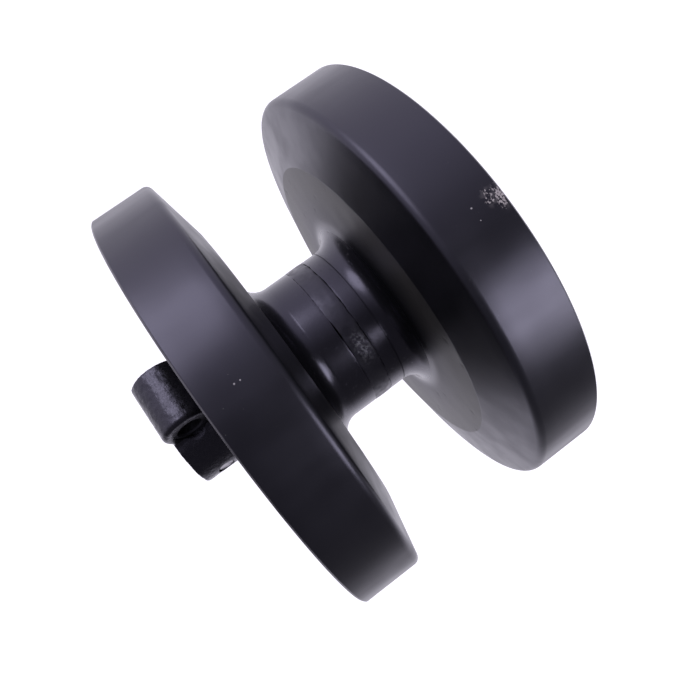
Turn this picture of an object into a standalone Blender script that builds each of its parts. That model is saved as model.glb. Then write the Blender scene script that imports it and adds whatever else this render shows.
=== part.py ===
"""Track roller for a rubber-tracked machine: two wide treads on a narrow hub, turning on a fixed shaft.

Run with: blender --background --python part.py
Units are metres. The shaft lies along Y, the origin is on it midway between the treads, and +Z points up
to the track frame that the two collars bolt to. Everything is worked out from the sizes below.
"""

from math import cos, pi, radians, sin, tan

import bmesh
import bpy
from mathutils import Vector

MM = 0.001

# Driving sizes
TREAD_RADIUS = 125 * MM
TREAD_WIDTH = 33.8 * MM
LUG_CHANNEL_WIDTH = 74.5 * MM  # between the treads, where the track's guide lugs run
HUB_RADIUS = 44.5 * MM
SHAFT_RADIUS = 20 * MM
SEAL_PLANE = 62 * MM  # how far from the middle the two lapped rings of each seal meet
BOLT_SPACING_ALONG = 184.5 * MM
BOLT_SPACING_ACROSS = 66 * MM
BOLT_HOLE_RADIUS = 6.75 * MM

# Gaps: between pieces that touch or are pressed together, and between those that turn past each other
FACE_GAP = 0.3 * MM
RUNNING_GAP = 0.35 * MM
END_PLAY = 0.7 * MM

# How finely round things are faceted
LARGE_SIDES = 48
SMALL_SIDES = 32
TINY_SIDES = 20
ARC_STEPS = 3

# Roller halves
INNER_RIM = LUG_CHANNEL_WIDTH / 2
OUTER_RIM = INNER_RIM + TREAD_WIDTH
RIM_CHAMFER = 1 * MM
INNER_RIM_ROUND = 4 * MM
GUIDE_CONE_RADIUS = 92 * MM  # inside this the inner face is nearly flat
GUIDE_CONE_DEPTH = 7.2 * MM
GUIDE_CONE_ROUND = 8 * MM
FACE_DRAFT = 1.5 * MM
HUB_FILLET = 11.5 * MM
RIM_THICKNESS = 18 * MM
WEB_OUTER_FACE = 49 * MM
RECESS_FILLET = 7 * MM
SEAL_BOSS_RADIUS = 47 * MM
OIL_CAVITY_RADIUS = 31 * MM

# Weld that joins the halves; it sits a little off the middle plane
WELD_MIDDLE = 2.3 * MM
WELD_TOP_WIDTH = 11.2 * MM
WELD_ROOT_WIDTH = 5 * MM
WELD_ROOT_RADIUS = 35 * MM
WELD_CROWN = 0.35 * MM

# Bushings
BUSHING_WALL = 4.2 * MM
BUSHING_INNER_END = 16 * MM
BUSHING_FLANGE_FACE = 49.1 * MM
BUSHING_FLANGE_THICKNESS = 3.1 * MM
BUSHING_FLANGE_RADIUS = 29.5 * MM

# Lapped metal seal rings and the rubber rings that press them together
SEAL_HALF_GAP = 0.2 * MM
SEAL_HOUSING_RADIUS = 37.3 * MM
SEAL_HOUSING_DEPTH = 9.2 * MM
SEAL_HOUSING_GAP = 0.8 * MM  # from the seal plane to the face of the boss or the collar
SEAL_RING_BORE = 27.5 * MM
SEAL_RING_LENGTH = 8 * MM
SEAL_RING_FLANGE = 34.2 * MM
SEAL_RING_TAIL = 30.4 * MM
TORIC_CORD = 2.7 * MM
TORIC_RADIUS = 33.55 * MM
TORIC_OFFSET = 5.5 * MM  # from the seal plane

# Collars
COLLAR_BODY_RADIUS = 25.8 * MM
COLLAR_END = 106 * MM
COLLAR_EDGE_ROUND = 2.5 * MM
COLLAR_NOSE_RADIUS = 24.3 * MM
COLLAR_FLANGE_RADIUS = 43 * MM
COLLAR_FLANGE_END = 74.5 * MM
PAD_HEIGHT = 26.5 * MM
EAR_RADIUS = 15 * MM
EAR_UNDERSIDE = 6.6 * MM
EAR_WEB_HALF_WIDTH = 12.9 * MM
BOLT_HEAD_CLEARANCE = 9.8 * MM  # radius of the pocket beside the body, for the bolt's head

# Shaft, its locking pins, rings and oil plug
JOURNAL_RADIUS = 14.5 * MM
SHAFT_END = 105 * MM
SHAFT_CHAMFER = 1.5 * MM
PIN_RADIUS = 4.2 * MM
PIN_TOP = 8.5 * MM  # below the shaft's axis
PIN_RECESS = 0.7 * MM
O_RING_PLACE = 80 * MM
O_RING_CORD = 1.1 * MM
O_RING_GROOVE_RADIUS = 12.1 * MM
O_RING_GROOVE_WIDTH = 3.4 * MM
OIL_DRILLING_RADIUS = 2.5 * MM
OIL_OUTLET_PLACE = 4 * MM
PLUG_RADIUS = 4 * MM
PLUG_LENGTH = 11 * MM
PLUG_HEAD_RADIUS = 7.5 * MM
PLUG_HEAD_THICKNESS = 3 * MM
PLUG_WASHER_THICKNESS = 1.2 * MM
PLUG_SOCKET_ACROSS_CORNERS = 7 * MM
PLUG_SOCKET_DEPTH = 2.4 * MM
CENTRE_MARK_RADIUS = 4 * MM
CUTTER_MARGIN = 3 * MM

SIDES = {"left": -1, "right": 1}


def start_scene():
    """Empties the scene and makes a collection for the roller's parts and one for the cutters."""
    for old in list(bpy.data.objects):
        bpy.data.objects.remove(old)
    collections = []
    for name in ("track_roller", "cutters"):
        collection = bpy.data.collections.new(name)
        bpy.context.scene.collection.children.link(collection)
        collections.append(collection)
    return collections


def material(name, colour, roughness, metallic):
    made = bpy.data.materials.new(name)
    made.use_nodes = True
    shader = made.node_tree.nodes["Principled BSDF"]
    shader.inputs["Base Color"].default_value = (*colour, 1)
    shader.inputs["Roughness"].default_value = roughness
    shader.inputs["Metallic"].default_value = metallic
    return made


def rounded(corners):
    """The points of an outline, given as (radius, place along, rounding): a rounding becomes a small arc."""
    points = []
    count = len(corners)
    for index, (radius, along, rounding) in enumerate(corners):
        corner = Vector((radius, along))
        if not rounding:
            points.append(corner)
            continue
        before = Vector(corners[index - 1][:2]) - corner
        after = Vector(corners[(index + 1) % count][:2]) - corner
        half_angle = before.angle(after) / 2
        to_centre = (before.normalized() + after.normalized()).normalized()
        centre = corner + to_centre * rounding / sin(half_angle)
        first = corner + before.normalized() * rounding / tan(half_angle) - centre
        last = corner + after.normalized() * rounding / tan(half_angle) - centre
        turn = first.angle_signed(last)
        for step in range(ARC_STEPS + 1):
            angle = -turn * step / ARC_STEPS
            points.append(centre + Vector((first.x * cos(angle) - first.y * sin(angle),
                                           first.x * sin(angle) + first.y * cos(angle))))
    return points


def circle(radius, along, cord, steps=6):
    """The round section of a ring, as outline points."""
    return [Vector((radius + cord * cos(2 * pi * k / steps), along + cord * sin(2 * pi * k / steps)))
            for k in range(steps)]


def turned(name, points, collection, sides=SMALL_SIDES):
    """A shape turned about Y from a closed outline of (radius, place along Y) points."""
    area = sum(a.x * b.y - b.x * a.y for a, b in zip(points, points[1:] + points[:1]))
    if area > 0:
        points = points[::-1]
    on_axis = [p.x < 1e-7 for p in points]
    closed = not any(on_axis)
    if not closed:
        while not (on_axis[0] and on_axis[-1]):
            points = points[1:] + points[:1]
            on_axis = on_axis[1:] + on_axis[:1]
    mesh = bpy.data.meshes.new(name)
    links = [(k, k + 1) for k in range(len(points) - 1)]
    if closed:
        links.append((len(points) - 1, 0))
    mesh.from_pydata([(p.x, 0, p.y) for p in points], links, [])
    piece = bpy.data.objects.new(name, mesh)
    piece.rotation_euler = (-pi / 2, 0, 0)
    collection.objects.link(piece)
    spin = piece.modifiers.new("turn", "SCREW")
    spin.steps = sides
    spin.render_steps = sides
    spin.use_merge_vertices = True
    spin.merge_threshold = 1e-6
    return piece


def cylinder(name, radius, start, end, collection, sides=SMALL_SIDES):
    """A straight cylinder between two points."""
    mesh = bpy.data.meshes.new(name)
    shape = bmesh.new()
    length = (end - start).length
    bmesh.ops.create_cone(shape, cap_ends=True, segments=sides, radius1=radius, radius2=radius, depth=length)
    shape.to_mesh(mesh)
    shape.free()
    piece = bpy.data.objects.new(name, mesh)
    piece.rotation_mode = "QUATERNION"
    piece.rotation_quaternion = (end - start).to_track_quat("Z", "Y")
    piece.location = (start + end) / 2
    collection.objects.link(piece)
    return piece


def box(name, low, high, collection):
    mesh = bpy.data.meshes.new(name)
    shape = bmesh.new()
    bmesh.ops.create_cube(shape, size=1)
    bmesh.ops.scale(shape, vec=high - low, verts=shape.verts)
    shape.to_mesh(mesh)
    shape.free()
    piece = bpy.data.objects.new(name, mesh)
    piece.location = (low + high) / 2
    collection.objects.link(piece)
    return piece


def combine(piece, other, operation):
    """Joins a helper to a piece, or cuts the piece with it. The helper stays in the scene, unrendered."""
    other.hide_render = True
    other.display_type = "WIRE"
    step = piece.modifiers.new(other.name, "BOOLEAN")
    step.operation = operation
    step.object = other
    step.solver = "EXACT"


def mirrored(points, side):
    """Outline points on the side asked for: -1 is the left, at -Y, and 1 the right."""
    return [Vector((p.x, p.y * side)) for p in points]


def roller_half(side, parts):
    """One forged half of the roller: tread, web, hub and seal housing."""
    weld_side = WELD_MIDDLE * side
    weld_top = weld_side + WELD_TOP_WIDTH / 2 + FACE_GAP / 2
    weld_root = weld_side + WELD_ROOT_WIDTH / 2 + FACE_GAP / 2
    root_face = weld_side + FACE_GAP / 2
    cone_top = INNER_RIM - GUIDE_CONE_DEPTH
    boss_face = SEAL_PLANE - SEAL_HOUSING_GAP
    housing_back = SEAL_PLANE - SEAL_HOUSING_DEPTH
    bushing_seat = SHAFT_RADIUS + RUNNING_GAP + BUSHING_WALL + FACE_GAP
    flange_seat = BUSHING_FLANGE_FACE - BUSHING_FLANGE_THICKNESS - FACE_GAP
    flange_clearance = BUSHING_FLANGE_RADIUS + FACE_GAP * 2
    corners = [
        (HUB_RADIUS, weld_top, 0),
        (HUB_RADIUS, cone_top - FACE_DRAFT, HUB_FILLET),
        (GUIDE_CONE_RADIUS, cone_top, GUIDE_CONE_ROUND),
        (TREAD_RADIUS, INNER_RIM, INNER_RIM_ROUND),
        (TREAD_RADIUS, OUTER_RIM - RIM_CHAMFER, 0),
        (TREAD_RADIUS - RIM_CHAMFER, OUTER_RIM, 0),
        (TREAD_RADIUS - RIM_THICKNESS, OUTER_RIM, 0),
        (TREAD_RADIUS - RIM_THICKNESS - 3 * MM, WEB_OUTER_FACE + FACE_DRAFT, RECESS_FILLET),
        (SEAL_BOSS_RADIUS + FACE_DRAFT, WEB_OUTER_FACE - FACE_DRAFT, RECESS_FILLET),
        (SEAL_BOSS_RADIUS, boss_face - 1.2 * MM, 0),
        (SEAL_BOSS_RADIUS - 1.2 * MM, boss_face, 0),
        (SEAL_HOUSING_RADIUS + 0.6 * MM, boss_face, 0),
        (SEAL_HOUSING_RADIUS, boss_face - 1.5 * MM, 0),
        (SEAL_HOUSING_RADIUS - 1.2 * MM, housing_back, 0),
        (flange_clearance, housing_back, 0),
        (flange_clearance, flange_seat, 0),
        (bushing_seat, flange_seat, 0),
        (bushing_seat, BUSHING_INNER_END - 1 * MM, 0),
        (OIL_CAVITY_RADIUS, BUSHING_INNER_END - 5 * MM, 0),
        (OIL_CAVITY_RADIUS, root_face, 0),
        (WELD_ROOT_RADIUS - FACE_GAP, root_face, 0),
        (WELD_ROOT_RADIUS - FACE_GAP, weld_root, 0),
    ]
    name = next(word for word, sign in SIDES.items() if sign == side)
    return turned(f"{name}_roller_half", mirrored(rounded(corners), side), parts, LARGE_SIDES)


def hub_weld(parts):
    """The ring of weld metal that fills the groove between the two halves."""
    half_top = WELD_TOP_WIDTH / 2 - FACE_GAP / 2
    half_root = WELD_ROOT_WIDTH / 2 - FACE_GAP / 2
    outline = [
        Vector((WELD_ROOT_RADIUS, WELD_MIDDLE - half_root)),
        Vector((WELD_ROOT_RADIUS, WELD_MIDDLE + half_root)),
        Vector((HUB_RADIUS, WELD_MIDDLE + half_top)),
        Vector((HUB_RADIUS + WELD_CROWN, WELD_MIDDLE + half_top / 2)),
        Vector((HUB_RADIUS + WELD_CROWN, WELD_MIDDLE - half_top / 2)),
        Vector((HUB_RADIUS, WELD_MIDDLE - half_top)),
    ]
    return turned("hub_weld", outline, parts, LARGE_SIDES)


def bushing(name, side, parts):
    """A flanged bimetal bushing, pressed into its half of the roller."""
    bore = SHAFT_RADIUS + RUNNING_GAP
    outside = bore + BUSHING_WALL
    flange_back = BUSHING_FLANGE_FACE - BUSHING_FLANGE_THICKNESS
    corners = [
        (bore, BUSHING_INNER_END, 0),
        (outside - 0.6 * MM, BUSHING_INNER_END, 0),
        (outside, BUSHING_INNER_END + 1.2 * MM, 0),
        (outside, flange_back, 0),
        (BUSHING_FLANGE_RADIUS, flange_back, 0),
        (BUSHING_FLANGE_RADIUS, BUSHING_FLANGE_FACE, 0),
        (bore + 0.8 * MM, BUSHING_FLANGE_FACE, 0),
        (bore, BUSHING_FLANGE_FACE - 0.8 * MM, 0),
    ]
    return turned(name, mirrored(rounded(corners), side), parts)


def seal_ring(name, side, facing, parts):
    """A lapped metal seal ring. Facing is -1 for the ring in the roller and 1 for the ring in the collar."""
    face = SEAL_PLANE + facing * SEAL_HALF_GAP
    back = face + facing * SEAL_RING_LENGTH
    corners = [
        (SEAL_RING_BORE, face + facing * 1 * MM, 0),
        (SEAL_RING_FLANGE - 3.5 * MM, face, 0),
        (SEAL_RING_FLANGE, face, 0),
        (SEAL_RING_FLANGE, face + facing * 1.6 * MM, 0),
        (SEAL_RING_TAIL, face + facing * 2.4 * MM, 0),
        (SEAL_RING_TAIL - 0.4 * MM, back - facing * 0.5 * MM, 0),
        (SEAL_RING_TAIL - 0.9 * MM, back, 0),
        (SEAL_RING_BORE, back, 0),
    ]
    return turned(name, mirrored(rounded(corners), side), parts)


def rubber_ring(name, side, radius, along, cord, parts):
    return turned(name, mirrored(circle(radius, along, cord), side), parts)


def collar_blank(name, side, parts):
    """The turned body of a collar: nose, seal housing, flange and round end, still without its ears."""
    nose_end = BUSHING_FLANGE_FACE + END_PLAY + FACE_GAP
    flange_face = SEAL_PLANE + SEAL_HOUSING_GAP
    housing_back = SEAL_PLANE + SEAL_HOUSING_DEPTH
    corners = [
        (0, nose_end, 0),
        (COLLAR_NOSE_RADIUS - 0.8 * MM, nose_end, 0),
        (COLLAR_NOSE_RADIUS, nose_end + 0.8 * MM, 0),
        (COLLAR_NOSE_RADIUS, housing_back, 0),
        (SEAL_HOUSING_RADIUS - 1.2 * MM, housing_back, 0),
        (SEAL_HOUSING_RADIUS, flange_face + 1.5 * MM, 0),
        (SEAL_HOUSING_RADIUS + 0.6 * MM, flange_face, 0),
        (COLLAR_FLANGE_RADIUS, flange_face, 0),
        (COLLAR_FLANGE_RADIUS, COLLAR_FLANGE_END, 2 * MM),
        (COLLAR_BODY_RADIUS, COLLAR_FLANGE_END + 4 * MM, 3 * MM),
        (COLLAR_BODY_RADIUS, COLLAR_END, COLLAR_EDGE_ROUND),
        (0, COLLAR_END, 0),
    ]
    return turned(name, mirrored(rounded(corners), side), parts)


def collar(name, side, parts, cutters):
    """A forged collar: its pads bolt up to the track frame and its bore holds the end of the shaft."""
    piece = collar_blank(name, side, parts)
    middle = side * BOLT_SPACING_ALONG / 2
    reach = BOLT_SPACING_ACROSS / 2
    web = box(f"{name}_web", Vector((-reach, middle - EAR_WEB_HALF_WIDTH, -EAR_UNDERSIDE)),
              Vector((reach, middle + EAR_WEB_HALF_WIDTH, PAD_HEIGHT)), cutters)
    combine(piece, web, "UNION")
    for end in (-1, 1):
        foot = Vector((end * reach, middle, -EAR_UNDERSIDE))
        ear = cylinder(f"{name}_ear_{end}", EAR_RADIUS, foot, foot + Vector((0, 0, EAR_UNDERSIDE + PAD_HEIGHT)),
                       cutters)
        combine(piece, ear, "UNION")
    below = Vector((0, 0, -COLLAR_BODY_RADIUS))
    for end in (-1, 1):
        foot = Vector((end * reach, middle, -EAR_UNDERSIDE))
        pocket = cylinder(f"{name}_pocket_{end}", BOLT_HEAD_CLEARANCE, foot + below, foot, cutters, TINY_SIDES)
        combine(piece, pocket, "DIFFERENCE")
        top = Vector((end * reach, middle, PAD_HEIGHT + CUTTER_MARGIN))
        hole = cylinder(f"{name}_bolt_hole_{end}", BOLT_HOLE_RADIUS, foot + below, top, cutters, TINY_SIDES)
        combine(piece, hole, "DIFFERENCE")
    bore = cylinder(f"{name}_bore", JOURNAL_RADIUS + FACE_GAP, Vector((0, side * SEAL_PLANE / 2, 0)),
                    Vector((0, side * (COLLAR_END + CUTTER_MARGIN), 0)), cutters)
    combine(piece, bore, "DIFFERENCE")
    combine(piece, pin_hole(f"{name}_pin_hole", side, cutters), "DIFFERENCE")
    return piece


def pin_hole(name, side, cutters):
    """The drilling for a locking pin, up through the collar's underside and into the shaft."""
    place = side * BOLT_SPACING_ALONG / 2
    foot = Vector((0, place, -COLLAR_BODY_RADIUS - CUTTER_MARGIN))
    return cylinder(name, PIN_RADIUS + FACE_GAP, foot, Vector((0, place, FACE_GAP - PIN_TOP)), cutters, TINY_SIDES)


def lock_pin(name, side, parts):
    """The pin that ties a collar to the shaft."""
    place = side * BOLT_SPACING_ALONG / 2
    foot = Vector((0, place, PIN_RECESS - COLLAR_BODY_RADIUS))
    return cylinder(name, PIN_RADIUS, foot, Vector((0, place, -PIN_TOP)), parts, TINY_SIDES)


def shaft(parts, cutters):
    """The fixed shaft: a thick middle for the bushings, thinner ends for the collars, and the oil drilling."""
    shoulder = BUSHING_FLANGE_FACE + END_PLAY
    groove_start = O_RING_PLACE - O_RING_GROOVE_WIDTH / 2
    groove_end = O_RING_PLACE + O_RING_GROOVE_WIDTH / 2
    half = [
        (SHAFT_RADIUS, shoulder - 0.6 * MM),
        (SHAFT_RADIUS - 0.6 * MM, shoulder),
        (JOURNAL_RADIUS, shoulder),
        (JOURNAL_RADIUS, groove_start),
        (O_RING_GROOVE_RADIUS, groove_start),
        (O_RING_GROOVE_RADIUS, groove_end),
        (JOURNAL_RADIUS, groove_end),
        (JOURNAL_RADIUS, SHAFT_END - SHAFT_CHAMFER),
        (JOURNAL_RADIUS - SHAFT_CHAMFER, SHAFT_END),
        (0, SHAFT_END),
    ]
    outline = [Vector((radius, -along)) for radius, along in reversed(half)]
    outline += [Vector(point) for point in half]
    piece = turned("shaft", outline, parts)
    seat = plug_seat()
    counterbore = cylinder("plug_counterbore", PLUG_HEAD_RADIUS + FACE_GAP, Vector((0, seat, 0)),
                           Vector((0, SHAFT_END + CUTTER_MARGIN, 0)), cutters, TINY_SIDES)
    plug_hole = cylinder("plug_hole", PLUG_RADIUS + FACE_GAP, Vector((0, seat - PLUG_LENGTH - FACE_GAP, 0)),
                         Vector((0, SHAFT_END, 0)), cutters, TINY_SIDES)
    drilling = cylinder("oil_drilling", OIL_DRILLING_RADIUS, Vector((0, OIL_OUTLET_PLACE - OIL_DRILLING_RADIUS, 0)),
                        Vector((0, SHAFT_END, 0)), cutters, 12)
    outlet = cylinder("oil_outlet", OIL_DRILLING_RADIUS, Vector((0, OIL_OUTLET_PLACE, 0)),
                      Vector((0, OIL_OUTLET_PLACE, SHAFT_RADIUS + CUTTER_MARGIN)), cutters, 12)
    mark = turned("centre_mark", [Vector((0, -SHAFT_END - CUTTER_MARGIN)),
                                  Vector((CENTRE_MARK_RADIUS + CUTTER_MARGIN, -SHAFT_END - CUTTER_MARGIN)),
                                  Vector((0, -SHAFT_END + CENTRE_MARK_RADIUS))], cutters, TINY_SIDES)
    for cutter in (counterbore, plug_hole, drilling, outlet, mark):
        combine(piece, cutter, "DIFFERENCE")
    for name, side in SIDES.items():
        combine(piece, pin_hole(f"shaft_{name}_pin_hole", side, cutters), "DIFFERENCE")
    return piece


def plug_seat():
    """Where the oil plug's washer lies, inside the right end of the shaft."""
    return SHAFT_END - PLUG_HEAD_THICKNESS - PLUG_WASHER_THICKNESS - 2 * FACE_GAP - 0.4 * MM


def oil_plug(parts, cutters):
    """The hexagon-socket plug that closes the oil drilling."""
    under_head = plug_seat() + PLUG_WASHER_THICKNESS + 2 * FACE_GAP
    top = under_head + PLUG_HEAD_THICKNESS
    corners = [
        (0, plug_seat() - PLUG_LENGTH + CUTTER_MARGIN, 0),
        (PLUG_RADIUS - 1 * MM, plug_seat() - PLUG_LENGTH + CUTTER_MARGIN, 0),
        (PLUG_RADIUS, plug_seat() - PLUG_LENGTH + CUTTER_MARGIN + 1 * MM, 0),
        (PLUG_RADIUS, under_head, 0),
        (PLUG_HEAD_RADIUS, under_head, 0),
        (PLUG_HEAD_RADIUS, top - 0.6 * MM, 0),
        (PLUG_HEAD_RADIUS - 0.6 * MM, top, 0),
        (0, top, 0),
    ]
    piece = turned("oil_plug", rounded(corners), parts, TINY_SIDES)
    socket = cylinder("plug_socket", PLUG_SOCKET_ACROSS_CORNERS / 2, Vector((0, top - PLUG_SOCKET_DEPTH, 0)),
                      Vector((0, top + CUTTER_MARGIN, 0)), cutters, 6)
    combine(piece, socket, "DIFFERENCE")
    return piece


def plug_washer(parts):
    low = plug_seat() + FACE_GAP
    high = low + PLUG_WASHER_THICKNESS
    bore = PLUG_RADIUS + FACE_GAP
    outline = [Vector((bore, low)), Vector((PLUG_HEAD_RADIUS - FACE_GAP, low)),
               Vector((PLUG_HEAD_RADIUS - FACE_GAP, high)), Vector((bore, high))]
    return turned("oil_plug_washer", outline, parts, TINY_SIDES)


def finish_surface(piece, look):
    """Fixes the piece's shape as a mesh, smooth except at its edges, and gives it its material."""
    bpy.context.view_layer.update()
    graph = bpy.context.evaluated_depsgraph_get()
    mesh = bpy.data.meshes.new_from_object(piece.evaluated_get(graph))
    mesh.name = piece.name
    piece.modifiers.clear()
    piece.data = mesh
    mesh.materials.clear()
    mesh.materials.append(look)
    mesh.shade_smooth()
    mesh.set_sharp_from_angle(angle=radians(30))


def build():
    parts, cutters = start_scene()
    black_paint = material("black_paint", (0.012, 0.012, 0.015), 0.42, 0.0)
    steel = material("ground_steel", (0.42, 0.42, 0.43), 0.3, 1.0)
    bronze = material("bushing_bronze", (0.55, 0.36, 0.16), 0.35, 1.0)
    rubber = material("black_rubber", (0.015, 0.015, 0.015), 0.7, 0.0)
    copper = material("copper", (0.72, 0.35, 0.2), 0.35, 1.0)

    looks = {shaft(parts, cutters): steel, hub_weld(parts): black_paint}
    for word, side in SIDES.items():
        looks[roller_half(side, parts)] = black_paint
        looks[bushing(f"{word}_bushing", side, parts)] = bronze
        for owner, facing in (("roller", -1), ("collar", 1)):
            looks[seal_ring(f"{word}_{owner}_seal_ring", side, facing, parts)] = steel
            along = SEAL_PLANE + facing * TORIC_OFFSET
            looks[rubber_ring(f"{word}_{owner}_seal_rubber", side, TORIC_RADIUS, along, TORIC_CORD, parts)] = rubber
        looks[collar(f"{word}_collar", side, parts, cutters)] = black_paint
        o_ring_radius = JOURNAL_RADIUS + FACE_GAP / 2 - O_RING_CORD
        looks[rubber_ring(f"{word}_shaft_o_ring", side, o_ring_radius, O_RING_PLACE, O_RING_CORD, parts)] = rubber
        looks[lock_pin(f"{word}_lock_pin", side, parts)] = black_paint
    looks[oil_plug(parts, cutters)] = steel
    looks[plug_washer(parts)] = copper
    for piece, look in looks.items():
        finish_surface(piece, look)
    cutters.hide_render = True


build()
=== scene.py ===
"""Looks of the track roller: turned and forged surfaces, black paint, a pale studio and the camera."""

import random
from math import cos, hypot, pi, radians, sin, tan

import bmesh
import bpy
from mathutils import Matrix, Vector, noise


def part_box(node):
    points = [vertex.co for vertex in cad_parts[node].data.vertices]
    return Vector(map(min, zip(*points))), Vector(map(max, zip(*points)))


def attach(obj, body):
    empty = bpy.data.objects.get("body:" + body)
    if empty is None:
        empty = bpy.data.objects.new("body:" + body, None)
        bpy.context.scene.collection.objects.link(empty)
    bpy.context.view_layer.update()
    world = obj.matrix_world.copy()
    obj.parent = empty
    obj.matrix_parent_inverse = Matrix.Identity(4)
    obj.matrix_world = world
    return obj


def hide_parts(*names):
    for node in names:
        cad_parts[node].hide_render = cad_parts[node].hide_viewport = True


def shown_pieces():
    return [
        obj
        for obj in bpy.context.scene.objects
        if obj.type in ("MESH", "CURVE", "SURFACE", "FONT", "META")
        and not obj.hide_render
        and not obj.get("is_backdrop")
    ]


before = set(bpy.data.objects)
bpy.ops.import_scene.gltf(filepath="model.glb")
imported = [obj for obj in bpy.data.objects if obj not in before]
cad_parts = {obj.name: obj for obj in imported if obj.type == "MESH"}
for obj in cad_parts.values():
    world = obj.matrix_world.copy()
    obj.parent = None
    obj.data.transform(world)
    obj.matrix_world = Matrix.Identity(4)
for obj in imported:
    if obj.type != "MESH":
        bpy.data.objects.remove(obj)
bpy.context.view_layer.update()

MM = 0.001
SIDES = {"left": -1, "right": 1}

# Sizes read from the frame
HALF_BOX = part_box("right_roller_half")
COLLAR_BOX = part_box("right_collar")
WELD_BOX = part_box("hub_weld")
PIN_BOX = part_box("right_lock_pin")
TREAD_RADIUS = HALF_BOX[1][0]
OUTER_RIM = HALF_BOX[1][1]
WELD_START, WELD_END = WELD_BOX[0][1], WELD_BOX[1][1]
COLLAR_START = COLLAR_BOX[0][1]
BOLT_LINE = (PIN_BOX[0][1] + PIN_BOX[1][1]) / 2

# Roller halves
TREAD_WIDTH = 33.8 * MM
INNER_RIM = OUTER_RIM - TREAD_WIDTH
RIM_ROUND = 0.5 * MM
RIM_CHAMFER = 1 * MM
INNER_RIM_ROUND = 4 * MM
GUIDE_CONE_RADIUS = 92 * MM
GUIDE_CONE_DEPTH = 7.2 * MM
GUIDE_CONE_ROUND = 8 * MM
FACE_DRAFT = 1.5 * MM
HUB_RADIUS = 44.5 * MM
HUB_FILLET = 11.5 * MM
HUB_BAND_END = 16.4 * MM
HUB_BAND_STEP = 0.05 * MM
RIM_THICKNESS = 18 * MM
WEB_OUTER_FACE = 49 * MM
RECESS_FILLET = 7 * MM
SEAL_BOSS_RADIUS = 47 * MM
SEAL_BOSS_FACE = 61.2 * MM
SEAL_HOUSING_RADIUS = 37.3 * MM
SEAL_HOUSING_BACK = 52.8 * MM
INNER_BORE_RADIUS = 31 * MM
WELD_ROOT_RADIUS = 34.7 * MM
WELD_GAP = 0.3 * MM
WELD_ROOT_WIDTH = 5 * MM
WELD_CROWN = 0.35 * MM
WELD_CRACK_ANGLE = 0.4
TURNED_SIDES = 360
HOUSING_SIDES = 128
BAR_SIDES = 96
ARC_STEPS = 6
FORGED_STEP = 1.3 * MM
TURNED_STEP = 6 * MM
WELD_STEP = 0.8 * MM

# Unevenness of the forged skin, and the dents that scale has left in it
SKIN_RIPPLE = 0.10 * MM
SKIN_RIPPLE_SIZE = 18 * MM
HUB_RIPPLE_SHARE = 0.12
FACE_START = 54 * MM
FACE_FADE = 8 * MM
PIT_COUNT = 26
PIT_PLACES = (56, 100)  # radii in millimetres
PIT_SIZES = (0.8, 1.8)  # in millimetres
PIT_DEPTH = 0.32 * MM
PIT_SEED = 11

# The weld's wandering edges, and the crack along them
WELD_NOISE_RADIUS = 40 * MM
WELD_WANDER = 0.45 * MM
WELD_REACH = 3 * MM
CRACK_USUAL = (-0.08 * MM, 0.12 * MM)
CRACK_SPREAD = 0.5 * MM
CRACK_LIMITS = (-0.3 * MM, 0.5 * MM)

# Collars
PAD_HEIGHT = 26.5 * MM
COLLAR_BODY_RADIUS = 25.8 * MM
COLLAR_END = 106 * MM
COLLAR_FLANGE_RADIUS = 43 * MM
COLLAR_FLANGE_FACE = 62.8 * MM
COLLAR_FLANGE_END = 74.5 * MM
COLLAR_NOSE_RADIUS = 24.3 * MM
COLLAR_HOUSING_BACK = 71.2 * MM
BOLT_ACROSS = 33 * MM
BOLT_HOLE_RADIUS = 6.75 * MM
EAR_RADIUS = 15 * MM
EAR_BEVEL = 1.6 * MM
EAR_DRAFT = 0.8 * MM
EAR_UNDERSIDE = 6.6 * MM
EAR_WEB_HALF_WIDTH = 12.9 * MM
POCKET_RADIUS = 9.8 * MM
SHAFT_BORE_RADIUS = 14.8 * MM
PIN_HOLE_RADIUS = 4.5 * MM
HOLE_CHAMFER = 0.8 * MM
CUTTER_MARGIN = 5 * MM
FORGING_ALLOWANCE = 0.5 * MM
VOXEL = 0.75 * MM

# Camera, found from the ellipses of the rims and the spacing of the treads
CAMERA_PLACE = (0.3257, -0.0423, -0.1129)
CAMERA_AZIMUTH = 84.3
CAMERA_ELEVATION = 19.83
CAMERA_ROLL = 37.89
CAMERA_LENS = 30.6
CAMERA_SENSOR = 36
CAMERA_SHIFT = (0.050, -0.0176)
FLOOR_HEIGHT = -0.6

# Light: the backdrop lies along the camera's view; each panel has a place, a size and a power in watts
BACKDROP_DIRECTION = (-0.87, 0.09, 0.48)
BACKDROP_EDGE = (0.1, 0.6)
BACKDROP_LIGHT = 1.25
CEILING_DIRECTION = (0.3, -0.1, 0.95)
CEILING_EDGE = (-0.2, 0.8)
CEILING_LIGHT = 1.2
ROOM_LIGHT = 0.15
ROOM_TINT = (0.95, 0.92, 1.03, 1)
PANELS = {
    "front_panel": ((0.90, -0.28, 0.42), (0.75, 0.7), 4.2),
    "low_panel": ((0.25, 0.23, -0.38), (0.30, 0.24), 1.1),
}

# Paint
PAINT = (0.004, 0.004, 0.005)
PAINT_IOR = 1.6
PAINT_TINT = (0.76, 0.72, 1.0)
SMUDGE = (0.008, 0.008, 0.010)
THIN_PAINT = (0.010, 0.010, 0.010)
FORGING_GREY = (0.036, 0.034, 0.034)
FORGING_TINT = (0.80, 0.78, 0.84)
DUST = (0.12, 0.12, 0.12)
SCUFF = (0.06, 0.055, 0.06)
SWIRL_GREY = (0.09, 0.09, 0.10)
SPECK_GREY = (0.32, 0.30, 0.33)
# Painted highlight: a lighter grey laid along the outer rim's edge where a bright reflection runs
RIM_EDGE_HIGHLIGHT = (0.09, 0.085, 0.095)
PRIMER = (0.30, 0.27, 0.29)
THIN_PAINT_ON_STEEL = (0.02, 0.02, 0.023)

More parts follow.
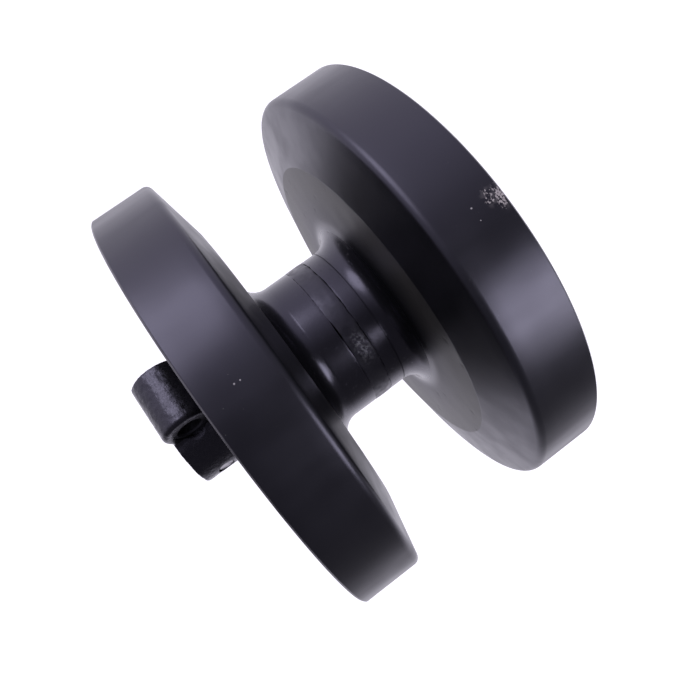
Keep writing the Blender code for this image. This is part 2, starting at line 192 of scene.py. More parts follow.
# Bare metals and rubber, and the scales of the waves that draw their tool marks
STEEL = (0.42, 0.42, 0.43)
PIN_STEEL = (0.26, 0.25, 0.28)
BRONZE = (0.55, 0.36, 0.16)
COPPER = (0.72, 0.35, 0.2)
OIL_STAIN = 0.45
RUBBER = (0.018, 0.018, 0.018)
RUBBER_BLOOM = (0.035, 0.034, 0.033)
CUTTER_MARKS = 900
TURNING_MARKS = 1400

# Marks on the object: a centre, how far the mark reaches along X, Y and Z, and how thick the chips lie
CHIP_PATCHES = (
    (Vector((119.8, 68.6, -35.8)) * MM, Vector((7, 4.5, 8.5)) * MM, 0.30),
    (Vector((120.4, 64.5, -33.4)) * MM, Vector((6, 4, 7)) * MM, 0.20),
)
SPECKS = (
    (Vector((120.2, -55.7, -34.5)) * MM, Vector((0.55, 0.55, 0.55)) * MM),
    (Vector((120.1, -53.1, -34.6)) * MM, Vector((0.45, 0.45, 0.45)) * MM),
    (Vector((120.5, 56.4, -33.3)) * MM, Vector((0.5, 0.6, 0.5)) * MM),
    (Vector((118.8, 56.5, -38.9)) * MM, Vector((0.35, 0.35, 0.35)) * MM),
)
WELD_SWIRL = (Vector((35.4, 3, -27)) * MM, Vector((13, 6.5, 13)) * MM)


def rounded(corners):
    """The points of an outline, given as (radius, place along, rounding): a rounding becomes an arc."""
    points = []
    count = len(corners)
    for index, (radius, along, rounding) in enumerate(corners):
        corner = Vector((radius, along))
        if not rounding:
            points.append(corner)
            continue
        before = Vector(corners[index - 1][:2]) - corner
        after = Vector(corners[(index + 1) % count][:2]) - corner
        half_angle = before.angle(after) / 2
        to_centre = (before.normalized() + after.normalized()).normalized()
        centre = corner + to_centre * rounding / sin(half_angle)
        first = corner + before.normalized() * rounding / tan(half_angle) - centre
        last = corner + after.normalized() * rounding / tan(half_angle) - centre
        turn = first.angle_signed(last)
        for step in range(ARC_STEPS + 1):
            angle = -turn * step / ARC_STEPS
            points.append(centre + Vector((first.x * cos(angle) - first.y * sin(angle),
                                           first.x * sin(angle) + first.y * cos(angle))))
    return points


def divided(points, longest):
    """The same closed outline, with its long stretches cut so that none is over longest(a, b)."""
    fine = []
    for a, b in zip(points, points[1:] + points[:1]):
        parts = max(1, int((b - a).length / longest(a, b) + 0.5))
        fine += [a.lerp(b, k / parts) for k in range(parts)]
    return fine


def make_object(name, mesh):
    piece = bpy.data.objects.new(name, mesh)
    bpy.context.scene.collection.objects.link(piece)
    return piece


def shade(mesh, angle=32):
    mesh.shade_smooth()
    mesh.set_sharp_from_angle(angle=radians(angle))


def turned_mesh(name, outline, sides, move=None, zone=None):
    """A closed ring turned round the shaft's axis from an outline of (radius, place along it) points.

    move(radius, along, angle) gives a point's own radius and place.
    zone(radius, along) gives a face's material.
    """
    verts = []
    count = len(outline)
    for k in range(sides):
        angle = 2 * pi * k / sides
        for point in outline:
            radius, along = move(point.x, point.y, angle) if move else (point.x, point.y)
            verts.append((radius * sin(angle), along, radius * cos(angle)))
    faces = []
    kinds = []
    for k in range(sides):
        here = k * count
        there = (k + 1) % sides * count
        for j in range(count):
            after = (j + 1) % count
            faces.append((here + j, here + after, there + after, there + j))
            middle = (outline[j] + outline[after]) / 2
            kinds.append(zone(middle.x, middle.y) if zone else 0)
    mesh = bpy.data.meshes.new(name)
    mesh.from_pydata(verts, [], faces)
    mesh.polygons.foreach_set("material_index", kinds)
    shape = bmesh.new()
    shape.from_mesh(mesh)
    bmesh.ops.remove_doubles(shape, verts=shape.verts, dist=1e-7)
    bmesh.ops.recalc_face_normals(shape, faces=shape.faces)
    shape.to_mesh(mesh)
    shape.free()
    shade(mesh)
    return mesh


def grain(x, y, z, size, depth=3):
    """Smooth noise between about -1 and 1, with features of about the size given."""
    return noise.fractal(Vector((x, y, z)) / size, 1.0, 2.0, depth)


# ---------------------------------------------------------------- roller halves and weld

def weld_wave(angle, edge):
    """How far the weld's edge wanders along the shaft, at an angle round the hub."""
    wander = grain(cos(angle) * WELD_NOISE_RADIUS, edge, sin(angle) * WELD_NOISE_RADIUS, 9 * MM, 4)
    return WELD_WANDER * wander


def crack_width(angle, edge):
    """The width of the crack at the weld's edge, or below zero where the paint has closed it."""
    x, z = cos(angle) * WELD_NOISE_RADIUS, sin(angle) * WELD_NOISE_RADIUS
    open_here = grain(x, edge + 1, z, 5 * MM, 4)
    closed, widest = CRACK_USUAL
    usual = widest * cos(angle - WELD_CRACK_ANGLE) if edge > 0 else closed
    narrowest, limit = CRACK_LIMITS
    return min(limit, max(narrowest, usual + CRACK_SPREAD * open_here))


def pits(side):
    """Small dents left by scale on one half's forged faces: place round the axis, radius and size."""
    rng = random.Random(PIT_SEED + side)
    found = []
    for _ in range(PIT_COUNT):
        found.append((rng.uniform(0, 2 * pi), rng.uniform(*PIT_PLACES) * MM, rng.uniform(*PIT_SIZES) * MM))
    return found


def half_outline(side):
    """The section of one half, as rounded points of (radius, place counted outwards from the middle)."""
    weld_edge = WELD_END if side > 0 else -WELD_START
    weld_middle = (WELD_START + WELD_END) / 2 * side
    cone_top = INNER_RIM - GUIDE_CONE_DEPTH
    root = weld_middle + WELD_GAP / 2
    return rounded([
        (HUB_RADIUS, weld_edge + 0.05 * MM, 0.25 * MM),
        (HUB_RADIUS, HUB_BAND_END, 0.3 * MM),
        (HUB_RADIUS - HUB_BAND_STEP, HUB_BAND_END + 8 * HUB_BAND_STEP, 0),
        (HUB_RADIUS - HUB_BAND_STEP, cone_top - FACE_DRAFT, HUB_FILLET),
        (GUIDE_CONE_RADIUS, cone_top, GUIDE_CONE_ROUND),
        (TREAD_RADIUS, INNER_RIM, INNER_RIM_ROUND),
        (TREAD_RADIUS, OUTER_RIM - RIM_CHAMFER, RIM_ROUND),
        (TREAD_RADIUS - RIM_CHAMFER, OUTER_RIM, RIM_ROUND),
        (TREAD_RADIUS - RIM_THICKNESS, OUTER_RIM, 1.5 * MM),
        (TREAD_RADIUS - RIM_THICKNESS - 3 * MM, WEB_OUTER_FACE + FACE_DRAFT, RECESS_FILLET),
        (SEAL_BOSS_RADIUS + FACE_DRAFT, WEB_OUTER_FACE - FACE_DRAFT, RECESS_FILLET),
        (SEAL_BOSS_RADIUS, SEAL_BOSS_FACE, 1.2 * MM),
        (SEAL_HOUSING_RADIUS + 0.6 * MM, SEAL_BOSS_FACE, 0.2 * MM),
        (SEAL_HOUSING_RADIUS, SEAL_BOSS_FACE - 1.5 * MM, 0.2 * MM),
        (SEAL_HOUSING_RADIUS - 1.2 * MM, SEAL_HOUSING_BACK, 0.5 * MM),
        (INNER_BORE_RADIUS, SEAL_HOUSING_BACK, 0),
        (INNER_BORE_RADIUS, root, 0),
        (WELD_ROOT_RADIUS, root, 0),
        (WELD_ROOT_RADIUS, weld_middle + WELD_ROOT_WIDTH / 2, 0),
    ])


def is_forged(radius, along):
    """True on the faces left as forged: the face inside the guide cone, the hub, and the outer recess."""
    cone_top = INNER_RIM - GUIDE_CONE_DEPTH
    inner_side = along < cone_top + 0.3 * MM and radius < GUIDE_CONE_RADIUS - 0.3 * MM
    recess = (WEB_OUTER_FACE - 3 * MM < along < OUTER_RIM - 1 * MM
              and SEAL_BOSS_RADIUS - 1 * MM < radius < TREAD_RADIUS - RIM_THICKNESS)
    return radius > WELD_ROOT_RADIUS and (inner_side or recess)


def roller_half(word, side):
    """One half: turned tread and cone, rippled and pitted forged faces, and a wandering weld edge."""
    weld_edge = WELD_END if side > 0 else -WELD_START
    dents = pits(side)

    def step(a, b):
        middle = (a + b) / 2
        return FORGED_STEP if is_forged(middle.x, middle.y) else TURNED_STEP

    def move(radius, along, angle):
        x, z = radius * sin(angle), radius * cos(angle)
        if is_forged(radius, along):
            lift = SKIN_RIPPLE * grain(x, along * side, z, SKIN_RIPPLE_SIZE, 2)
            on_face = min(1, max(0, (radius - FACE_START) / FACE_FADE))
            for place, distance, size in dents:
                gap = hypot(radius - distance, radius * (angle - place))
                if gap < size:
                    lift -= PIT_DEPTH * on_face * (1 - (gap / size) ** 2)
            outward = -1 if along < INNER_RIM else 1
            on_hub = 1 - on_face
            radius += lift * on_hub * HUB_RIPPLE_SHARE
            along += lift * outward * on_face
        near_weld = max(0, 1 - abs(along - weld_edge) / WELD_REACH)
        if near_weld and radius > WELD_ROOT_RADIUS + 2 * MM:
            along += near_weld * (weld_wave(angle, side) + crack_width(angle, side) / 2)
        return radius, along * side

    fine = divided(half_outline(side), step)
    mesh = turned_mesh(f"{word}_half_surface", fine, TURNED_SIDES, move=move,
                       zone=lambda radius, along: int(is_forged(radius, along)))
    piece = make_object(f"{word}_half_surface", mesh)
    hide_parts(f"{word}_roller_half")
    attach(piece, "roller")
    return piece


def hub_weld():
    """The ground weld: nearly flush, a little uneven, with wandering edges."""
    middle = (WELD_START + WELD_END) / 2
    half = (WELD_END - WELD_START) / 2
    outline = rounded([
        (WELD_ROOT_RADIUS + WELD_GAP, middle - WELD_ROOT_WIDTH / 2 + WELD_GAP, 0),
        (WELD_ROOT_RADIUS + WELD_GAP, middle + WELD_ROOT_WIDTH / 2 - WELD_GAP, 0),
        (HUB_RADIUS, WELD_END, 0.25 * MM),
        (HUB_RADIUS + WELD_CROWN / 2, middle + half / 2, 0),
        (HUB_RADIUS + WELD_CROWN / 2, middle - half / 2, 0),
        (HUB_RADIUS, WELD_START, 0.25 * MM),
    ])

    def move(radius, along, angle):
        x, z = radius * sin(angle), radius * cos(angle)
        if radius > HUB_RADIUS - 1 * MM:
            radius += 0.08 * MM * grain(x, along, z, 8 * MM) + 0.02 * MM * grain(x, along, z, 2 * MM, 2)
            edge = (along - middle) / half
            side = 1 if edge > 0 else -1
            along += abs(edge) * side * (side * weld_wave(angle, side) - crack_width(angle, side) / 2)
        return radius, along

    mesh = turned_mesh("weld_surface", divided(outline, lambda a, b: WELD_STEP), TURNED_SIDES, move=move)
    piece = make_object("weld_surface", mesh)
    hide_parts("hub_weld")
    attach(piece, "roller")
    return piece


# ---------------------------------------------------------------- collars

def cut(piece, cutters):
    """Cuts the piece with each cutter mesh in turn and leaves the result as its mesh."""
    helpers = []
    for cutter in cutters:
        helper = make_object(f"{cutter.name}_cutter", cutter)
        helpers.append(helper)
        step = piece.modifiers.new(helper.name, "BOOLEAN")
        step.operation = "DIFFERENCE"
        step.solver = "MANIFOLD"
        step.object = helper
    settle(piece)
    for helper in helpers:
        bpy.data.objects.remove(helper)


def settle(piece):
    """Applies the piece's modifiers."""
    graph = bpy.context.evaluated_depsgraph_get()
    mesh = bpy.data.meshes.new_from_object(piece.evaluated_get(graph))
    piece.modifiers.clear()
    piece.data = mesh


def solid_box(shape, low, high):
    made = bmesh.ops.create_cube(shape, size=1)["verts"]
    bmesh.ops.scale(shape, vec=high - low, verts=made)
    bmesh.ops.translate(shape, vec=(low + high) / 2, verts=made)


def solid_cylinder(shape, radius, start, end):
    length = (end - start).length
    turn = (end - start).to_track_quat("Z", "Y").to_matrix().to_4x4()
    place = Matrix.Translation((start + end) / 2) @ turn
    bmesh.ops.create_cone(shape, cap_ends=True, segments=BAR_SIDES, radius1=radius, radius2=radius,
                          depth=length, matrix=place)


def rod(name, profile, axis, place):
    """A closed turned bar along Y or Z from (radius, place along) points, moved to a place."""
    points = [Vector(point) for point in profile]
    verts = []
    for radius, along in points:
        for k in range(BAR_SIDES):
            a, b = radius * cos(2 * pi * k / BAR_SIDES), radius * sin(2 * pi * k / BAR_SIDES)
            verts.append((a, along, b) if axis == "Y" else (a, b, along))
    faces = [tuple(range(BAR_SIDES)), tuple(range(len(verts) - BAR_SIDES, len(verts)))]
    for ring in range(len(points) - 1):
        for k in range(BAR_SIDES):
            here, after = ring * BAR_SIDES + k, ring * BAR_SIDES + (k + 1) % BAR_SIDES
            faces.append((here, after, after + BAR_SIDES, here + BAR_SIDES))
    mesh = bpy.data.meshes.new(name)
    mesh.from_pydata(verts, [], faces)
    mesh.transform(Matrix.Translation(place))
    shape = bmesh.new()
    shape.from_mesh(mesh)
    bmesh.ops.recalc_face_normals(shape, faces=shape.faces)
    shape.to_mesh(mesh)
    shape.free()
    shade(mesh)
    return mesh


def collar_blank():
    """The forging for the right collar, before machining: rough, with soft edges."""
    shape = bmesh.new()
    body_start = Vector((0, COLLAR_START, 0))
    solid_cylinder(shape, COLLAR_BODY_RADIUS, body_start, Vector((0, COLLAR_END, 0)))
    flange_start = Vector((0, COLLAR_FLANGE_FACE - FORGING_ALLOWANCE * 4, 0))
    solid_cylinder(shape, COLLAR_FLANGE_RADIUS, flange_start, Vector((0, COLLAR_FLANGE_END, 0)))
    low = Vector((-BOLT_ACROSS, BOLT_LINE - EAR_WEB_HALF_WIDTH, -EAR_UNDERSIDE - FORGING_ALLOWANCE))
    high = Vector((BOLT_ACROSS, BOLT_LINE + EAR_WEB_HALF_WIDTH, PAD_HEIGHT + FORGING_ALLOWANCE))
    solid_box(shape, low, high)
    for end in (-1, 1):
        foot = Vector((end * BOLT_ACROSS, BOLT_LINE, -EAR_UNDERSIDE - FORGING_ALLOWANCE))
        top = Vector((end * BOLT_ACROSS, BOLT_LINE, PAD_HEIGHT + FORGING_ALLOWANCE))
        shape.from_mesh(rod("ear", [(EAR_RADIUS - EAR_BEVEL, 0), (EAR_RADIUS, EAR_BEVEL),
                                    (EAR_RADIUS + EAR_DRAFT, (top - foot).length)], "Z", foot))
    mesh = bpy.data.meshes.new("collar_blank")
    shape.to_mesh(mesh)
    shape.free()
    piece = make_object("collar_blank", mesh)
    skin = piece.modifiers.new("skin", "REMESH")
    skin.mode = "VOXEL"
    skin.voxel_size = VOXEL
    soften = piece.modifiers.new("soften", "SMOOTH")
    soften.factor = 0.5
    soften.iterations = 7
    settle(piece)
    places = [vert.co.copy() for vert in piece.data.vertices]
    normals = [vert.normal.copy() for vert in piece.data.vertices]
    for vert, place, normal in zip(piece.data.vertices, places, normals):
        lift = 0.14 * MM * grain(*place, 7 * MM) + 0.10 * MM * grain(*place, 2.2 * MM, 2)
        vert.co = place + normal * lift
    return piece


def collar_cutters():
    """What the machining takes off the right collar's forging."""
    before_collar = COLLAR_START - CUTTER_MARGIN
    past_flange = COLLAR_FLANGE_RADIUS + CUTTER_MARGIN
    housing = [
        (COLLAR_NOSE_RADIUS, before_collar),
        (COLLAR_NOSE_RADIUS, COLLAR_HOUSING_BACK),
        (SEAL_HOUSING_RADIUS - 1.2 * MM, COLLAR_HOUSING_BACK),
        (SEAL_HOUSING_RADIUS, COLLAR_FLANGE_FACE + 1.5 * MM),
        (SEAL_HOUSING_RADIUS + 0.6 * MM, COLLAR_FLANGE_FACE),
        (past_flange, COLLAR_FLANGE_FACE),
        (past_flange, before_collar),
    ]
    cutters = [turned_mesh("seal_housing", [Vector(point) for point in housing], HOUSING_SIDES)]
    cutters.append(rod("shaft_bore", [
        (SHAFT_BORE_RADIUS, before_collar),
        (SHAFT_BORE_RADIUS, COLLAR_END - HOLE_CHAMFER),
        (SHAFT_BORE_RADIUS + HOLE_CHAMFER, COLLAR_END),
        (SHAFT_BORE_RADIUS + HOLE_CHAMFER, COLLAR_END + CUTTER_MARGIN),
    ], "Y", (0, 0, 0)))
    depth = COLLAR_BODY_RADIUS + CUTTER_MARGIN
    cutters.append(rod("pin_hole", [
        (PIN_HOLE_RADIUS + 0.7 * MM, -depth),
        (PIN_HOLE_RADIUS + 0.7 * MM, -COLLAR_BODY_RADIUS + 0.2 * MM),
        (PIN_HOLE_RADIUS, -COLLAR_BODY_RADIUS + 0.9 * MM),
        (PIN_HOLE_RADIUS, -SHAFT_BORE_RADIUS / 2),
    ], "Z", (0, BOLT_LINE, 0)))
    for end in (-1, 1):
        cutters.append(rod(f"bolt_hole_{end}", [
            (POCKET_RADIUS, -depth),
            (POCKET_RADIUS, -EAR_UNDERSIDE),
            (BOLT_HOLE_RADIUS + HOLE_CHAMFER, -EAR_UNDERSIDE),
            (BOLT_HOLE_RADIUS, -EAR_UNDERSIDE + HOLE_CHAMFER),
            (BOLT_HOLE_RADIUS, PAD_HEIGHT - HOLE_CHAMFER),
            (BOLT_HOLE_RADIUS + HOLE_CHAMFER, PAD_HEIGHT),
            (BOLT_HOLE_RADIUS + HOLE_CHAMFER, PAD_HEIGHT + CUTTER_MARGIN + 1 * MM),
        ], "Z", (end * BOLT_ACROSS, BOLT_LINE, 0)))
    shape = bmesh.new()
    solid_box(shape, Vector((-60 * MM, BOLT_LINE - 30 * MM, PAD_HEIGHT)),
              Vector((60 * MM, BOLT_LINE + 30 * MM, PAD_HEIGHT + 5 * MM)))
    pad = bpy.data.meshes.new("pad_plane")
    shape.to_mesh(pad)
    shape.free()
    cutters.append(pad)
    return cutters


def is_machined(face):
    """True for a collar's cut faces: spot faces, pads, bores and the seal side."""
    place, facing = face.center, face.normal
    flat = abs(facing.z) > 0.999 and (abs(place.z - PAD_HEIGHT) < 0.01 * MM
                                      or abs(place.z + EAR_UNDERSIDE) < 0.01 * MM)
    near_axis = hypot(place.x, place.z) < SHAFT_BORE_RADIUS + 1 * MM
    near_bolt = hypot(abs(place.x) - BOLT_ACROSS, abs(place.y) - BOLT_LINE) < BOLT_HOLE_RADIUS + 0.9 * MM
    seal_side = abs(place.y) < COLLAR_FLANGE_FACE + 0.01 * MM
    return flat or near_axis or near_bolt or seal_side


def collars():
    """The right collar, forged and machined, and the left one as its mirror image."""
    piece = collar_blank()
    cut(piece, collar_cutters())
    right = piece.data
    bpy.data.objects.remove(piece)
    for word, side in SIDES.items():
        mesh = right.copy()
        mesh.name = f"{word}_collar_surface"
        if side < 0:
            mesh.transform(Matrix.Diagonal((1, -1, 1, 1)))
            mesh.flip_normals()
        mesh.polygons.foreach_set("material_index", [int(is_machined(face)) for face in mesh.polygons])
        shade(mesh, 40)
        made = make_object(f"{word}_collar_surface", mesh)
        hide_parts(f"{word}_collar")
        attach(made, "axle")


# ---------------------------------------------------------------- camera, light and floor

def camera():
    view = bpy.data.cameras.new("camera")
    view.lens = CAMERA_LENS
    view.sensor_width = CAMERA_SENSOR
    view.shift_x, view.shift_y = CAMERA_SHIFT
    view.clip_start = 0.01
    seat = make_object("camera", view)
    turn = Matrix.Rotation(radians(CAMERA_AZIMUTH), 4, "Z")
    tilt = Matrix.Rotation(radians(90 + CAMERA_ELEVATION), 4, "X")
    roll = Matrix.Rotation(-radians(CAMERA_ROLL), 4, "Z")
    seat.matrix_world = Matrix.Translation(CAMERA_PLACE) @ turn @ tilt @ roll
    bpy.context.scene.camera = seat


def studio():
    """A room lit white behind the object and above it, dimmer round the camera, and two soft panels."""
    world = bpy.data.worlds.new("studio")
    world.use_nodes = True
    tree = world.node_tree
    background = tree.nodes["Background"]
    ray = tree.nodes.new("ShaderNodeLightPath")
    seen = tree.nodes.new("ShaderNodeMath")
    seen.operation = "MULTIPLY"
    seen.inputs[1].default_value = BACKDROP_LIGHT
    tree.links.new(ray.outputs["Is Camera Ray"], seen.inputs[0])
    brightest = seen.outputs["Value"]
    for direction, edge, light in ((BACKDROP_DIRECTION, BACKDROP_EDGE, BACKDROP_LIGHT),
                                   (CEILING_DIRECTION, CEILING_EDGE, CEILING_LIGHT)):
        place = tree.nodes.new("ShaderNodeTexCoord")
        toward = tree.nodes.new("ShaderNodeVectorMath")
        toward.operation = "DOT_PRODUCT"
        toward.inputs[1].default_value = direction
        fade = tree.nodes.new("ShaderNodeMapRange")
        fade.interpolation_type = "SMOOTHSTEP"
        for name, number in zip(("From Min", "From Max", "To Min", "To Max"), (*edge, ROOM_LIGHT, light)):
            fade.inputs[name].default_value = number
        larger = tree.nodes.new("ShaderNodeMath")
        larger.operation = "MAXIMUM"
        tree.links.new(place.outputs["Generated"], toward.inputs[0])
        tree.links.new(toward.outputs["Value"], fade.inputs["Value"])
        tree.links.new(fade.outputs["Result"], larger.inputs[0])
        tree.links.new(brightest, larger.inputs[1])
        brightest = larger.outputs["Value"]
    tree.links.new(brightest, background.inputs["Strength"])
    background.inputs["Color"].default_value = ROOM_TINT
    bpy.context.scene.world = world
    bpy.context.scene.view_settings.view_transform = "Standard"
    for name, (place, size, power) in PANELS.items():
        light = bpy.data.lights.new(name, "AREA")
        light.shape = "ELLIPSE"
        light.size, light.size_y = size
        light.energy = power
        panel = make_object(name, light)
        panel.matrix_world = (Matrix.Translation(place)
                              @ Vector(place).to_track_quat("Z", "Y").to_matrix().to_4x4())
        panel.visible_camera = False


def floor():
    """A pale floor as white as the backdrop, which the object doesn't mirror."""
    mesh = bpy.data.meshes.new("floor")
    shape = bmesh.new()
    bmesh.ops.create_circle(shape, cap_ends=True, segments=96, radius=12)
    shape.to_mesh(mesh)
    shape.free()
    piece = make_object("floor", mesh)
    piece.location.z = FLOOR_HEIGHT
    piece.visible_diffuse = False
    piece.visible_glossy = False
    look = bpy.data.materials.new("pale_floor")
    look.use_nodes = True
    shader = look.node_tree.nodes["Principled BSDF"]
    shader.inputs["Base Color"].default_value = (0.8, 0.8, 0.8, 1)
    shader.inputs["Roughness"].default_value = 0.9
    shader.inputs["Emission Color"].default_value = (1, 1, 1, 1)
    shader.inputs["Emission Strength"].default_value = 1
    mesh.materials.append(look)
    piece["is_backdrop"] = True


# ---------------------------------------------------------------- materials

class Look:
    """A Principled material with short calls for the noise, masks and bumps that make its surface."""

    def __init__(self, name, colour, roughness, metallic=0.0, ior=1.5, tint=(1, 1, 1)):
        self.material = bpy.data.materials.new(name)
        self.material.use_nodes = True
        self.tree = self.material.node_tree
        self.shader = self.tree.nodes["Principled BSDF"]
        self.shader.inputs["Base Color"].default_value = (*colour, 1)
        self.shader.inputs["Roughness"].default_value = roughness
        self.shader.inputs["Metallic"].default_value = metallic
        self.shader.inputs["IOR"].default_value = ior
        self.shader.inputs["Specular Tint"].default_value = (*tint, 1)
        self.place = self.tree.nodes.new("ShaderNodeTexCoord").outputs["Object"]
        self.bumped = None

    def node(self, kind, **settings):
        made = self.tree.nodes.new(kind)
        for name, value in settings.items():
            setattr(made, name, value)
        return made

    def feed(self, socket, value):
        """Links a socket to an output, or sets it to a number."""
        if isinstance(value, bpy.types.NodeSocket):
            self.tree.links.new(value, socket)
        else:
            socket.default_value = value

    def noise(self, size, detail=3, stretch=None):
        """Noise from 0 to 1 with features of about the size given, stretched if asked."""
        place = self.place
        if stretch:
            mapping = self.node("ShaderNodeMapping")
            mapping.inputs["Scale"].default_value = stretch
            self.tree.links.new(place, mapping.inputs["Vector"])
            place = mapping.outputs["Vector"]
        made = self.node("ShaderNodeTexNoise")
        made.inputs["Scale"].default_value = 1 / size
        made.inputs["Detail"].default_value = detail
        self.tree.links.new(place, made.inputs["Vector"])
        return made.outputs["Fac"]

    def ramp(self, value, low, high, start=0.0, end=1.0):
        """Turns a value from low to high into one from start to end, smoothly."""
        made = self.node("ShaderNodeMapRange", interpolation_type="SMOOTHSTEP")
        self.feed(made.inputs["Value"], value)
        for name, number in (("From Min", low), ("From Max", high), ("To Min", start), ("To Max", end)):
            made.inputs[name].default_value = number
        return made.outputs["Result"]

    def math(self, operation, a, b):
        made = self.node("ShaderNodeMath", operation=operation)
        self.feed(made.inputs[0], a)
        self.feed(made.inputs[1], b)
        return made.outputs["Value"]

    def near(self, centre, radii):
        """1 at a place on the object, falling to 0 over the radii along X, Y and Z."""
        mapping = self.node("ShaderNodeMapping", vector_type="POINT")
        mapping.inputs["Scale"].default_value = [1 / r for r in radii]
        mapping.inputs["Location"].default_value = [-c / r for c, r in zip(centre, radii)]
        length = self.node("ShaderNodeVectorMath", operation="LENGTH")
        self.tree.links.new(self.place, mapping.inputs["Vector"])
        self.tree.links.new(mapping.outputs["Vector"], length.inputs[0])
        return self.ramp(length.outputs["Value"], 0.2, 1.0, 1.0, 0.0)

    def radius(self):
        """The distance from the shaft's axis."""
        flat = self.node("ShaderNodeVectorMath", operation="MULTIPLY")
        flat.inputs[1].default_value = (1, 0, 1)
        length = self.node("ShaderNodeVectorMath", operation="LENGTH")
        self.tree.links.new(self.place, flat.inputs[0])
        self.tree.links.new(flat.outputs["Vector"], length.inputs[0])
        return length.outputs["Value"]

    def along(self):
        """The distance from the roller's middle plane."""
        parts = self.node("ShaderNodeSeparateXYZ")
        self.tree.links.new(self.place, parts.inputs["Vector"])
        return self.math("ABSOLUTE", parts.outputs["Y"], 0)

    def paint(self, mask, colour):
        """Covers the base colour with another where the mask is 1."""
        socket = self.shader.inputs["Base Color"]
        mix = self.node("ShaderNodeMix", data_type="RGBA")
        if socket.is_linked:
            self.tree.links.new(socket.links[0].from_socket, mix.inputs[6])
        else:
            mix.inputs[6].default_value = socket.default_value
        mix.inputs[7].default_value = (*colour, 1)
        self.feed(mix.inputs["Factor"], mask)
        self.tree.links.new(mix.outputs[2], socket)

    def fade_tint(self, mask, tint):
        """Changes the tint of the reflections where the mask is 1."""
        socket = self.shader.inputs["Specular Tint"]
        mix = self.node("ShaderNodeMix", data_type="RGBA")
        mix.inputs[6].default_value = socket.default_value
        mix.inputs[7].default_value = (*tint, 1)
        self.feed(mix.inputs["Factor"], mask)
        self.tree.links.new(mix.outputs[2], socket)

    def roughness(self, value):
        self.feed(self.shader.inputs["Roughness"], value)

    def bump(self, height, depth):
        """Raises the surface by the height, from 0 to 1, times the depth in metres."""
        made = self.node("ShaderNodeBump")
        made.inputs["Strength"].default_value = 1.0
        made.inputs["Distance"].default_value = depth
        self.feed(made.inputs["Height"], height)
        if self.bumped:
            self.tree.links.new(self.bumped, made.inputs["Normal"])
        self.bumped = made.outputs["Normal"]
        self.tree.links.new(self.bumped, self.shader.inputs["Normal"])


def tread_paint():
    """Satin black sprayed on turned steel: orange peel, smudges, dust, a painted highlight along the outer
    rim's edge and a few chips.
    """
    look = Look("tread_paint", PAINT, 0.34, ior=PAINT_IOR, tint=PAINT_TINT)
    smudges = look.noise(40 * MM, 2)
    streaks = look.noise(16 * MM, 3, stretch=(1, 0.2, 1))
    look.roughness(look.ramp(look.math("ADD", smudges, streaks), 0.7, 1.3, 0.30, 0.40))
    look.bump(look.noise(0.9 * MM, 2), 0.008 * MM)
    look.bump(smudges, 0.2 * MM)
    look.paint(look.ramp(smudges, 0.35, 0.75, 0.0, 0.5), SMUDGE)
    look.paint(look.ramp(look.noise(0.7 * MM, 1), 0.80, 0.84), DUST)
    at_tread = look.ramp(look.radius(), TREAD_RADIUS - 1.1 * MM, TREAD_RADIUS - 0.6 * MM)
    at_rim = look.ramp(look.along(), OUTER_RIM - 0.9 * MM, OUTER_RIM - 0.5 * MM)
    outer_edge = look.math("MULTIPLY", at_tread, at_rim)
    # Painted highlight: a lighter grey along the outer rim's edge, broken up by noise
    look.paint(look.math("MULTIPLY", outer_edge, look.ramp(look.noise(9 * MM, 3), 0.25, 0.55)), RIM_EDGE_HIGHLIGHT)
    chip_noise = look.noise(0.9 * MM, 4)
    scuffs = look.noise(2.2 * MM, 4)
    for centre, reach, amount in CHIP_PATCHES:
        zone = look.near(centre, reach)
        dull = look.math("MULTIPLY", look.ramp(scuffs, 0.42, 0.6), look.ramp(zone, 0.0, 0.7, 0.0, 0.5))
        look.paint(dull, SCUFF)
        raised = look.math("ADD", chip_noise, look.math("MULTIPLY", zone, amount))
        chips = look.math("MULTIPLY", look.ramp(raised, 0.72, 0.84), look.ramp(zone, 0.02, 0.3))
        look.paint(chips, PRIMER)
    for speck in SPECKS:
        look.paint(look.near(*speck), SPECK_GREY)
    return look.material


def forging_paint():
    """The same paint on forged skin: glossy round the hub, matt and greyer towards the guide cone."""
    look = Look("forging_paint", PAINT, 0.42, ior=PAINT_IOR, tint=PAINT_TINT)
    out = look.ramp(look.radius(), 54 * MM, 84 * MM)
    cloud = look.noise(22 * MM, 3)
    look.paint(look.math("MULTIPLY", out, look.ramp(cloud, 0.3, 0.7, 0.75, 1.0)), FORGING_GREY)
    look.fade_tint(out, FORGING_TINT)
    look.roughness(look.ramp(look.radius(), 50 * MM, 62 * MM, 0.24, 0.44))
    look.bump(look.ramp(look.noise(1.7 * MM, 2), 0.27, 0.33), 0.06 * MM)
    look.bump(look.noise(0.8 * MM, 2), 0.012 * MM)
    return look.material


def weld_paint():
    """Paint over the ground weld, with dull swirls and one rough patch."""
    look = Look("weld_paint", PAINT, 0.36, ior=PAINT_IOR, tint=PAINT_TINT)
    swirl = look.noise(4 * MM, 5)
    patch = look.near(*WELD_SWIRL)
    look.roughness(look.ramp(swirl, 0.35, 0.65, 0.30, 0.44))
    look.paint(look.ramp(look.noise(9 * MM, 4), 0.45, 0.7, 0.0, 0.6), THIN_PAINT)
    marks = look.math("MULTIPLY", patch, look.ramp(look.noise(1.6 * MM, 3), 0.5, 0.6))
    look.paint(marks, SWIRL_GREY)
    look.bump(swirl, 0.05 * MM)
    look.bump(look.math("MULTIPLY", patch, look.noise(2.2 * MM, 3)), 0.7 * MM)
    return look.material


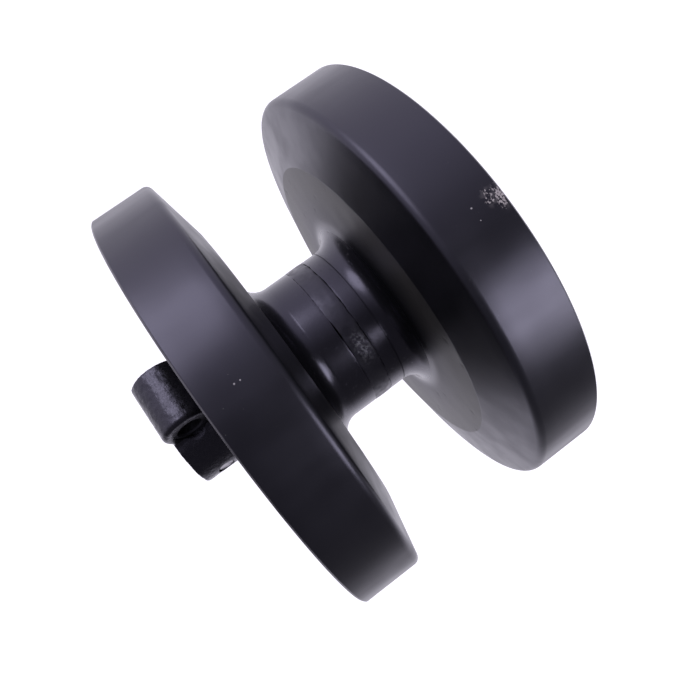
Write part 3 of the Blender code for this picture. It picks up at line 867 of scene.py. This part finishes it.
def collar_paint():
    """Glossy black on a coarse forging."""
    look = Look("collar_paint", PAINT, 0.32, ior=PAINT_IOR, tint=PAINT_TINT)
    coarse = look.noise(3 * MM, 3)
    fine = look.noise(0.9 * MM, 3)
    look.roughness(look.ramp(fine, 0.3, 0.7, 0.24, 0.40))
    look.paint(look.ramp(coarse, 0.45, 0.75, 0.0, 0.6), THIN_PAINT)
    look.bump(coarse, 0.2 * MM)
    look.bump(fine, 0.07 * MM)
    return look.material


def machined_paint():
    """Thin paint over faces cut by a tool, whose marks still show."""
    look = Look("machined_paint", THIN_PAINT_ON_STEEL, 0.38, ior=PAINT_IOR, tint=PAINT_TINT)
    rings = look.node("ShaderNodeTexWave", wave_type="BANDS", bands_direction="DIAGONAL")
    rings.inputs["Scale"].default_value = CUTTER_MARKS
    rings.inputs["Distortion"].default_value = 2
    look.tree.links.new(look.place, rings.inputs["Vector"])
    look.roughness(look.ramp(look.noise(4 * MM, 3), 0.3, 0.7, 0.32, 0.46))
    look.bump(rings.outputs["Fac"], 0.008 * MM)
    return look.material


def turned_steel(name, colour, roughness):
    """Bare metal turned round the shaft's axis, lightly stained with oil."""
    look = Look(name, colour, roughness, metallic=1.0)
    rings = look.node("ShaderNodeTexWave", wave_type="RINGS", rings_direction="Y")
    rings.inputs["Scale"].default_value = TURNING_MARKS
    rings.inputs["Distortion"].default_value = 1
    look.tree.links.new(look.place, rings.inputs["Vector"])
    stain = look.noise(6 * MM, 4)
    look.paint(look.ramp(stain, 0.5, 0.75, 0.0, 0.7), tuple(part * OIL_STAIN for part in colour))
    look.roughness(look.ramp(stain, 0.35, 0.7, roughness * 0.8, roughness * 1.5))
    look.bump(rings.outputs["Fac"], 0.006 * MM)
    return look.material


def rubber():
    """Oily black rubber."""
    look = Look("rubber", RUBBER, 0.6)
    look.roughness(look.ramp(look.noise(3 * MM, 3), 0.3, 0.7, 0.5, 0.75))
    look.paint(look.ramp(look.noise(5 * MM, 3), 0.4, 0.7, 0.0, 0.6), RUBBER_BLOOM)
    look.bump(look.noise(0.6 * MM, 2), 0.02 * MM)
    return look.material


def dress():
    """Gives every piece and every CAD node that stays its materials."""
    paint = tread_paint()
    forged = forging_paint()
    machined = machined_paint()
    steel = turned_steel("turned_steel", STEEL, 0.28)
    bronze = turned_steel("bushing_bronze", BRONZE, 0.32)
    copper = turned_steel("washer_copper", COPPER, 0.35)
    pin = turned_steel("pin_steel", PIN_STEEL, 0.42)
    soft = rubber()
    looks = {
        "half_surface": (paint, forged),
        "weld_surface": (weld_paint(),),
        "collar_surface": (collar_paint(), machined),
        "shaft": (steel,),
        "lock_pin": (pin,),
        "seal_ring": (steel,),
        "seal_rubber": (soft,),
        "shaft_o_ring": (soft,),
        "bushing": (bronze,),
        "oil_plug": (steel,),
        "oil_plug_washer": (copper,),
    }
    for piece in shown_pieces():
        ending = max((end for end in looks if piece.name.endswith(end)), key=len)
        kinds = [face.material_index for face in piece.data.polygons]
        piece.data.materials.clear()
        for material in looks[ending]:
            piece.data.materials.append(material)
        piece.data.polygons.foreach_set("material_index", kinds)


camera()
studio()
floor()
for word, side in SIDES.items():
    roller_half(word, side)
hub_weld()
collars()
dress()
